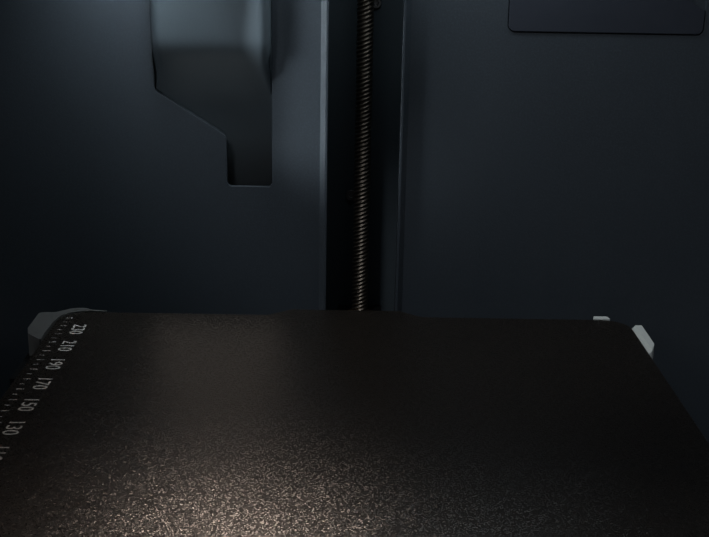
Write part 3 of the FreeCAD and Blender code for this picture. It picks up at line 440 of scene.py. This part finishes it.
def lathe(profile, seg=48, closed=False):
    """Profile of (r, z) pairs in mm turned about Z."""
    bm = bmesh.new()
    rings = []
    for r, z in profile:
        if r < 1e-6:
            rings.append([bm.verts.new((0, 0, z * MM))])
        else:
            rings.append([bm.verts.new((r * MM * math.cos(2 * math.pi * i / seg), r * MM * math.sin(2 * math.pi * i / seg), z * MM)) for i in range(seg)])
    pairs = list(zip(rings, rings[1:]))
    if closed:
        pairs.append((rings[-1], rings[0]))
    for a, b in pairs:
        for i in range(seg):
            j = (i + 1) % seg
            if len(a) == 1 and len(b) == 1:
                continue
            if len(a) == 1:
                bm.faces.new((a[0], b[j], b[i]))
            elif len(b) == 1:
                bm.faces.new((a[i], a[j], b[0]))
            else:
                bm.faces.new((a[i], a[j], b[j], b[i]))
    bmesh.ops.recalc_face_normals(bm, faces=bm.faces)
    return bm


def finish(bm, name, loc=(0, 0, 0), rot=None, smooth=32):
    m = Matrix.Translation(Vector(loc) * MM)
    if rot is not None:
        m = m @ rot
    bmesh.ops.transform(bm, matrix=m, verts=bm.verts)
    bm.normal_update()
    flat_smooth(bm, smooth)
    me = bpy.data.meshes.new(name)
    bm.to_mesh(me)
    bm.free()
    return me


def join(bms):
    out = bmesh.new()
    for b in bms:
        me = bpy.data.meshes.new("tmp")
        b.to_mesh(me)
        out.from_mesh(me)
        bpy.data.meshes.remove(me)
        b.free()
    return out


def bm_box(x0, x1, y0, y1, z0, z1, bevel=0.0, seg=2):
    bm = bmesh.new()
    bmesh.ops.create_cube(bm, size=1.0)
    bmesh.ops.scale(bm, vec=((x1 - x0) * MM, (y1 - y0) * MM, (z1 - z0) * MM), verts=bm.verts)
    bmesh.ops.translate(bm, vec=((x0 + x1) / 2 * MM, (y0 + y1) / 2 * MM, (z0 + z1) / 2 * MM), verts=bm.verts)
    if bevel:
        bmesh.ops.bevel(bm, geom=list(bm.edges), offset=bevel * MM, segments=seg, profile=0.5, affect="EDGES")
    return bm


def moved(bm, m):
    bmesh.ops.transform(bm, matrix=m, verts=bm.verts)
    return bm


TO_Y = Matrix.Rotation(-math.pi / 2, 4, "X")      # +Z becomes +Y
TO_X = Matrix.Rotation(math.pi / 2, 4, "Y")       # +Z becomes +X

# ------------------------------------------------------------------ cabinet
C = "cabinet"
refine("rear_liner", C, M["liner"], 0.5, 3)
refine("screw_channel", C, M["channel"], 0.4, 1)


FACE = [(-119.5, 140.5), (-117.8, 140.8), (-116.0, 141.5), (-113.8, 142.6), (-109.3, 145.2), (-104.2, 148.2), (-98.8, 151.0), (-92.5, 153.4), (-85.0, 155.2), (-76.0, 156.5), (-64.0, 157.4), (-47.0, 158.0)]


def face_y(h):
    """Depth of the chute's face (mm) at height h above the plate: straight at the top, then one soft curve back."""
    z = -h
    if z <= FACE[0][0]:
        return FACE[0][1]
    for k in range(len(FACE) - 1):
        (a, ya), (b, yb) = FACE[k], FACE[k + 1]
        if a >= z >= b or a <= z <= b:
            t = (z - a) / (b - a)
            return ya + (yb - ya) * t
    return FACE[-1][1]


def soft_face_y(h):
    tot = ws = 0.0
    for i in range(-10, 11):
        w = math.exp(-((i / 5.0) ** 2))
        tot += w * face_y(h + i * 0.75)
        ws += w
    return max(tot / ws, 140.5)


def chute():
    # the solid with the faces that the soft face stands for taken off
    src = NODES["purge_chute"]
    bm = bmesh.new()
    bm.from_mesh(src.data)
    bmesh.ops.remove_doubles(bm, verts=bm.verts, dist=2e-6)
    x0, x1 = (PX - 88.5), (PX - 35.4)
    kill = []
    for f in bm.faces:
        c = f.calc_center_median() / MM
        h = c.z - PZ
        if x0 - 0.7 < c.x < x1 + 0.7 and abs(c.y - face_y(h)) < 0.9 and f.normal.y < -0.2 and 47.5 < h:
            kill.append(f)
        elif h > 94 and 140.0 < c.y < 153 and (c.x < x0 + 5.1 or c.x > x1 - 5.1) and not (PX - 58.2 < c.x < PX - 37.4):
            kill.append(f)
    bmesh.ops.delete(bm, geom=kill, context="FACES")
    bm.normal_update()
    flat_smooth(bm)
    me = bpy.data.meshes.new("chute_duct")
    bm.to_mesh(me)
    bm.free()
    add("chute_duct", me, C, M["chute"], "purge_chute")
    # the soft face
    bm = bmesh.new()
    R_SIDE = 5.2
    rows = []
    hs = [185.0, 175.0, 160.0, 145.0, 132.0, 126.0] + [124.0 - 1.0 * k for k in range(77)]
    for h in hs:
        if h >= 97.0:
            a = -88.55
        elif h > 76.0:
            a = -88.55 + (97.0 - h) / 21.0 * 32.4
        else:
            a = -56.15
        b = -35.35
        ext = min(1.0, max(0.0, (95.0 - h) / 1.2)) * 2.6
        a, b = a - ext, b + ext
        y = soft_face_y(h)
        r = R_SIDE * min(1.0, max(0.02, (h - 93.0) / 14.0))
        cols = [(a, max(153.5, y + r)), (a, min(max(150.4, y + r + 0.01), 153.4))]
        N = 9
        for k in range(N + 1):
            t = math.pi / 2 * k / N
            cols.append((a + r * (1 - math.cos(t)), y + r * (1 - math.sin(t))))
        for k in range(1, 8):
            cols.append((a + r + (b - a - 2 * r) * k / 8.0, y))
        for k in range(N + 1):
            t = math.pi / 2 * (1 - k / N)
            cols.append((b - r * (1 - math.cos(t)), y + r * (1 - math.sin(t))))
        cols += [(b, min(max(150.4, y + r + 0.01), 153.4)), (b, max(153.5, y + r))]
        rows.append([bm.verts.new(((PX + x) * MM, yy * MM, (PZ + h) * MM)) for x, yy in cols])
    for a, b in zip(rows, rows[1:]):
        for i in range(len(a) - 1):
            bm.faces.new((a[i], b[i], b[i + 1], a[i + 1]))
    bmesh.ops.recalc_face_normals(bm, faces=bm.faces)
    if sum(f.normal.y for f in bm.faces) > 0:
        bmesh.ops.reverse_faces(bm, faces=bm.faces)
    for f in bm.faces:
        f.smooth = True
    me = bpy.data.meshes.new("chute_face")
    bm.to_mesh(me)
    bm.free()
    o = add("chute_face", me, C, M["chute"])
    so = o.modifiers.new("thickness", "SOLIDIFY")
    so.thickness = 0.0011
    so.offset = -1.0
    return o


chute()
refine("filter_cover", C, M["filter"], 0.4, 2)
refine("base_tray", C, M["base"], 0.6, 2)
refine("rubber_feet", C, M["foot"], 1.5, 3)
refine("chamber_floor", C, M["floor_pan"], 0.3, 1)
refine("corner_posts", C, M["post"], 0.5, 2)
refine("left_side_panel", C, M["case"], 0.4, 2)
refine("right_side_panel", C, M["case"], 0.4, 2)
refine("rear_panel", C, M["case"], 0.4, 2)


def joined_ring():
    """The roof ring's lengths as one moulding, so that no joint lines show."""
    src = NODES["top_frame"]
    tmp = bpy.data.objects.new("ring_tmp", src.data.copy())
    speck = bpy.data.meshes.new("speck")
    b = bm_box(0, 1, -HALF + 2, -HALF + 3, 400, 401)
    b.to_mesh(speck)
    b.free()
    so = bpy.data.objects.new("speck_tmp", speck)
    for q in (tmp, so):
        bpy.context.scene.collection.objects.link(q)
    mod = tmp.modifiers.new("join", "BOOLEAN")
    mod.operation = "UNION"
    mod.solver = "EXACT"
    mod.use_self = True
    mod.object = so
    dg = bpy.context.evaluated_depsgraph_get()
    me = bpy.data.meshes.new_from_object(tmp.evaluated_get(dg))
    for q in (tmp, so):
        bpy.data.objects.remove(q)
    bm = bmesh.new()
    bm.from_mesh(me)
    bpy.data.meshes.remove(me)
    bmesh.ops.remove_doubles(bm, verts=bm.verts, dist=2e-6)
    bmesh.ops.dissolve_limit(bm, angle_limit=math.radians(0.6), verts=bm.verts, edges=bm.edges, delimit=set())
    bm.normal_update()
    flat_smooth(bm)
    me = bpy.data.meshes.new("top_frame_fine")
    bm.to_mesh(me)
    bm.free()
    me.materials.clear()
    o = add("top_frame_fine", me, C, M["case"], "top_frame")
    m = o.modifiers.new("edges", "BEVEL")
    m.width = 0.5 * MM
    m.segments = 2
    m.limit_method = "ANGLE"
    m.angle_limit = math.radians(28)
    m.use_clamp_overlap = True
    m.harden_normals = True
    return o


joined_ring()
refine("front_bezel", C, M["case"], 0.6, 2)
refine("display_screen", C, M["screen"], 0.5, 2)
refine("linear_rods", C, M["rod"], 0.4, 1)
refine("stepper_motors", C, M["motor"], 0.5, 2)
refine("timing_belts", C, M["belt"], 0)
refine("screw_bearings", C, M["bearing"], 0.6, 2)
refine("power_supply", C, M["supply"], 0.5, 2)
refine("main_board", C, M["board"], 0.2, 1)
refine("power_inlet", C, M["inlet"], 0.4, 2)
refine("fan_housings", C, M["fan"], 0.5, 2)
refine("light_bar", C, M["lamp"], 1.0, 3)
refine("nozzle_wiper", C, M["wiper"], 0.5, 2)
refine("spool_holder", C, M["spool"], 0.8, 3)
refine("panel_screws", C, M["screw"], 0.3, 2)
refine("hinge_brackets", C, M["hinge"], 0.4, 2)
refine("power_switch", "power_switch", M["switch"], 0.5, 2)
refine("exhaust_fan_rotor", "exhaust_fan_rotor", M["fan"], 0.2, 1)
refine("blower_rotor", "blower_rotor", M["fan"], 0.2, 1)

# ------------------------------------------------------------------ door and lid
refine("door_glass", "door", M["glass_door"], 0.5, 2)
refine("door_hinges", "door", M["hinge"], 0.3, 2)
refine("door_handle", "door", M["handle"], 0.8, 3)
refine("lid_glass", "lid", M["glass_lid"], 0.6, 2)
refine("lid_gasket", "lid", M["gasket"], 0.5, 2)

# ------------------------------------------------------------------ bed
B = "bed"
refine("bed_carriage", B, M["carriage"], 0.6, 2)
refine("heated_bed", B, M["bed"], 0.4, 2)
gd = refine("corner_guides", B, [M["guide"], M["guide_dark"]], 0.8, 3)
# painted shade: faces of the left guide (x < 0) take the darker shaded copy of the guide plastic
for q in gd.data.polygons:
    q.material_index = 1 if q.center.x < 0 else 0
refine("lead_nuts", B, M["brass"], 0.4, 2)
refine("bed_screws", B, M["screw"], 0.4, 2)
refine("build_plate", "plate", M["plate"], 0.15, 2)

# ruler ticks and numbers along the plate's left edge, 0 at the front


def ruler():
    bms = []
    for i in range(-120, 121, 5):
        L = 2.0 if i % 10 else 3.2
        bms.append(bm_box(-125.4, -125.4 + L, i - 0.2, i + 0.2, PZ - 0.2, PZ + 0.03))
    return add("plate_ruler_ticks", finish(join(bms), "plate_ruler_ticks", (PX, PY, 0)), "plate", M["ink"])


def label(text, size, x, y, rot, name, body, mat, z):
    cu = bpy.data.curves.new(name, "FONT")
    cu.body = text
    cu.size = size * MM
    cu.align_x = "CENTER"
    cu.align_y = "CENTER"
    cu.extrude = 0.00002
    tmp = bpy.data.objects.new(name + "_t", cu)
    bpy.context.scene.collection.objects.link(tmp)
    me = bpy.data.meshes.new_from_object(tmp)
    bpy.data.objects.remove(tmp)
    me.transform(Matrix.Translation((x * MM, y * MM, z * MM)) @ Matrix.Rotation(rot, 4, "Z"))
    me.materials.clear()
    me.name = name
    return add(name, me, body, mat)


ruler()
for v in range(10, 241, 20):
    label(str(v), 8.2, PX - 117.0, PY - 125 + v + 1.0, -math.pi / 2, "plate_number_%d" % v, "plate", M["ink"], PZ + 0.02)

# ------------------------------------------------------------------ lead screws with real threads


def thread_mesh(name, x, y, z0, z1, r=4.0, depth=0.75, pitch=2.0, starts=4, seg=28, step=0.25):
    bm = bmesh.new()
    lead = pitch * starts
    nz = int(round((z1 - z0) / step))
    prev = None
    for k in range(nz + 1):
        z = z0 + (z1 - z0) * k / nz
        ring_ = []
        for i in range(seg):
            a = 2 * math.pi * i / seg
            f = ((z - lead * a / (2 * math.pi)) / pitch) % 1.0
            tri = abs(2 * f - 1)
            w = min(1.0, max(0.0, (tri - 0.25) / 0.4))
            edge = min(1.0, min(z - z0, z1 - z) / 1.2)
            rr = (r - depth * (1 - w)) * (0.86 + 0.14 * edge)
            ring_.append(bm.verts.new(((x + rr * math.cos(a)) * MM, (y + rr * math.sin(a)) * MM, z * MM)))
        if prev:
            for i in range(seg):
                j = (i + 1) % seg
                bm.faces.new((prev[i], prev[j], ring_[j], ring_[i]))
        else:
            bm.faces.new(list(reversed(ring_)))
        prev = ring_
    bm.faces.new(prev)
    for f in bm.faces:
        f.smooth = True
    me = bpy.data.meshes.new(name)
    bm.to_mesh(me)
    bm.free()
    return me


def toothed_pulley(x, y, z, r, h, teeth, flange=1.6, boss=0.0):
    """Belt pulley in mm: toothed face with a chamfered flange at each end; the boss argument is not used."""
    bm = bmesh.new()
    prof = []
    n = teeth * 4
    pts = []
    for i in range(n):
        a = 2 * math.pi * i / n
        rr = r if i % 4 in (0, 1) else r - 0.55
        pts.append((rr * math.cos(a), rr * math.sin(a)))
    lo = [bm.verts.new((px * MM, py * MM, z * MM)) for px, py in pts]
    hi = [bm.verts.new((px * MM, py * MM, (z + h) * MM)) for px, py in pts]
    for i in range(n):
        j = (i + 1) % n
        bm.faces.new((lo[i], lo[j], hi[j], hi[i]))
    bm.faces.new(list(reversed(lo)))
    bm.faces.new(hi)
    out = [bm]
    for z0 in (z - 0.9, z + h):
        out.append(lathe([(0, z0), (r + flange - 0.3, z0), (r + flange, z0 + 0.3), (r + flange, z0 + 0.6), (r + flange - 0.3, z0 + 0.9), (0, z0 + 0.9)], 48))
    b = join(out)
    return moved(b, Matrix.Translation((x * MM, y * MM, 0)))


for nm, x, y in (("left", -172.0, 0.0), ("right", 172.0, 0.0), ("rear", REAR[0], REAR[1])):
    body = "lead_screw_" + nm
    lo = 44.5
    o = add("screw_thread_" + nm, thread_mesh("screw_thread_" + nm, x, y, lo, 380.4, step=0.25 if nm == "rear" else 0.33), body, M["thread"], "lead_screw_" + nm)
    pb = toothed_pulley(x, y, 37.0, 8.0, 6.0, 25, 1.8)
    sh = moved(lathe([(0, 34.1), (3.6, 34.1), (3.9, 34.5), (3.9, 45), (0, 45)], 32), Matrix.Translation((x * MM, y * MM, 0)))
    add("screw_pulley_" + nm, finish(join([pb, sh]), "screw_pulley_" + nm), body, M["pulley"])
pb = toothed_pulley(0, -60, 37.0, 8.0, 6.0, 25, 1.8)
sh = moved(lathe([(0, 33.3), (2.4, 33.3), (2.4, 43.8), (0, 43.8)], 32), Matrix.Translation((0, -60 * MM, 0)))
add("z_pulley_fine", finish(join([pb, sh]), "z_pulley_fine"), "z_motor_pulley", M["pulley"], "z_motor_pulley")

# ------------------------------------------------------------------ gantry and head
refine("gantry_ends", "gantry", M["carr_plastic"], 0.6, 2)
refine("x_rods", "gantry", M["rod_x"], 0.4, 1)
refine("cross_belts", "gantry", M["belt"], 0)
for nm in ("left", "right"):
    refine("gantry_idler_" + nm, "gantry_idler_" + nm, M["pulley"], 0.15, 1)
    refine("motor_pulley_" + nm, "motor_pulley_" + nm, M["pulley"], 0.15, 1)
    refine("front_idler_" + nm, "front_idler_" + nm, M["pulley"], 0.15, 1)
refine("head_carriage", "head", M["carr_plastic"], 0.6, 2)
refine("head_cover", "head", M["head"], 0.8, 3)
refine("hot_end", "head", M["hot"], 0.2, 1)
refine("extruder_gear_drive", "extruder_gear_drive", M["gear"], 0.12, 1)
refine("extruder_gear_idler", "extruder_gear_idler", M["gear"], 0.12, 1)
refine("head_fan_rotor", "head_fan_rotor", M["fan"], 0.2, 1)

# ------------------------------------------------------------------ floor, light, camera


def plane(name, cx, cy, z, sx, sy, mat):
    bm = bmesh.new()
    bmesh.ops.create_grid(bm, x_segments=2, y_segments=2, size=0.5)
    bmesh.ops.scale(bm, vec=(sx, sy, 1), verts=bm.verts)
    bmesh.ops.translate(bm, vec=(cx, cy, z), verts=bm.verts)
    me = bpy.data.meshes.new(name)
    bm.to_mesh(me)
    bm.free()
    me.materials.append(mat)
    o = bpy.data.objects.new(name, me)
    bpy.context.scene.collection.objects.link(o)
    return o


fl = Nodes("studio_floor")
fn = fl.noise(3.0, 4.0)
fl.set(color=fl.ramp(fn, [(0.3, (0.66, 0.66, 0.66)), (0.7, (0.72, 0.72, 0.72))]), rough=0.8)
plane("studio_floor", 0, 0, -0.0002, 12.0, 12.0, fl.mat)


def area(name, loc, target, size, power, color=(1, 1, 1), size_y=None, spread=180.0):
    li = bpy.data.lights.new(name, "AREA")
    li.energy = power
    li.color = color
    li.shape = "RECTANGLE"
    li.size = size
    li.size_y = size_y or size
    li.spread = math.radians(spread)
    o = bpy.data.objects.new(name, li)
    bpy.context.scene.collection.objects.link(o)
    o.location = loc
    o.rotation_euler = (Vector(target) - Vector(loc)).to_track_quat("-Z", "Y").to_euler()
    return o


def inner(*a, **k):
    o = area(*a, **k)
    o.visible_camera = False
    o.visible_glossy = True
    return o


# from outside: front left, over the front edge of the roof, and soft lights for the sides and the rear
area("key_light", (-0.85, -1.35, 0.95), (0.0, 0.05, 0.2), 0.55, 1.6, (1.0, 0.97, 0.93))
area("roof_light", (-0.41, -0.7, 1.15), (0.0, 0.05, 0.2), 0.18, 6.6, (0.95, 0.98, 1.0))
area("left_light", (-1.9, 0.35, 0.7), (0.0, 0.1, 0.2), 1.0, 17.0)
area("right_light", (1.9, 0.5, 0.8), (0.0, 0.1, 0.2), 1.2, 15.0, (0.95, 0.97, 1.0))
area("back_light", (0.3, 2.0, 1.1), (0.0, 0.0, 0.2), 1.4, 22.0)
# daylight that comes in through the roof, held close under it
inner("wall_light_left", (-0.075, 0.125, 0.385), (-0.085, 0.15, 0.28), 0.05, 0.049, (0.86, 0.97, 1.0), None, 80.0)
inner("wall_light_corner", (-0.075, 0.125, 0.385), (-0.115, 0.185, 0.325), 0.05, 0.055, (0.86, 0.97, 1.0), None, 80.0)
inner("hood_light", (-0.075, 0.125, 0.385), (-0.078, 0.135, 0.30), 0.05, 0.0056, (0.86, 0.97, 1.0), None, 45.0)
inner("wall_light_middle", (0.02, 0.12, 0.388), (0.02, 0.15, 0.20), 0.18, 0.049, (0.88, 0.98, 1.0), 0.02)
inner("wall_light_soft", (0.02, 0.12, 0.389), (0.02, 0.15, 0.20), 0.18, 0.061, (0.88, 0.98, 1.0), 0.02).visible_glossy = False
inner("lip_light", (-0.06, 0.128, 0.30), (-0.012, 0.148, 0.285), 0.012, 0.0115, (0.9, 0.98, 1.0), 0.085, 40.0)
inner("slope_light", (-0.066, 0.126, 0.262), (-0.066, 0.147, 0.297), 0.045, 0.00026, (0.9, 0.98, 1.0), 0.01, 70.0)
inner("bed_light_rear", (-0.06, 0.13, 0.392), (-0.06, -0.14, 0.185), 0.06, 0.17, (1.0, 0.77, 0.62))
inner("bed_light_front", (-0.055, 0.12, 0.385), (-0.06, -0.16, 0.185), 0.05, 0.026, (1.0, 0.77, 0.62), None, 50.0)
inner("bed_light_low", (-0.065, 0.137, 0.255), (-0.065, -0.2, 0.235), 0.06, 0.004, (1.0, 0.84, 0.72), 0.11)

# the three warm lights fall on the plate and bed only, so the parts right beside them aren't overlit
lit = bpy.data.collections.new("lit_by_bed_lights")
for o in list(bpy.context.scene.objects):
    if o.type == "MESH" and (o.name.startswith("plate_") or o.name in ("build_plate_fine", "heated_bed_fine", "corner_guides_fine")):
        lit.objects.link(o)
for k in ("bed_light_rear", "bed_light_front", "bed_light_low"):
    bpy.data.objects[k].light_linking.receiver_collection = lit

w = bpy.data.worlds.new("studio")
bpy.context.scene.world = w
w.use_nodes = True
bg = w.node_tree.nodes["Background"]
bg.inputs[0].default_value = (0.75, 0.79, 0.85, 1)
bg.inputs[1].default_value = 0.022

cam = bpy.data.cameras.new("camera")
cam.sensor_width = 36.0
cam.lens = 58.39
cam.clip_start = 0.01
co = bpy.data.objects.new("camera", cam)
bpy.context.scene.collection.objects.link(co)
pitch, yaw, roll = 0.3019, -0.0083, 0.01819
cp, sp = math.cos(pitch), math.sin(pitch)
rz = Matrix.Rotation(yaw, 3, "Z")
fwd = rz @ Vector((0, cp, -sp))
up = rz @ Vector((0, sp, cp))
right = rz @ Vector((1, 0, 0))
r2 = math.cos(roll) * right + math.sin(roll) * up
u2 = -math.sin(roll) * right + math.cos(roll) * up
rot = Matrix((r2, u2, -fwd)).transposed().to_4x4()
co.matrix_world = Matrix.Translation((-0.0043, -0.37606, 0.36176)) @ rot
bpy.context.scene.camera = co
bpy.context.scene.view_settings.view_transform = "Standard"
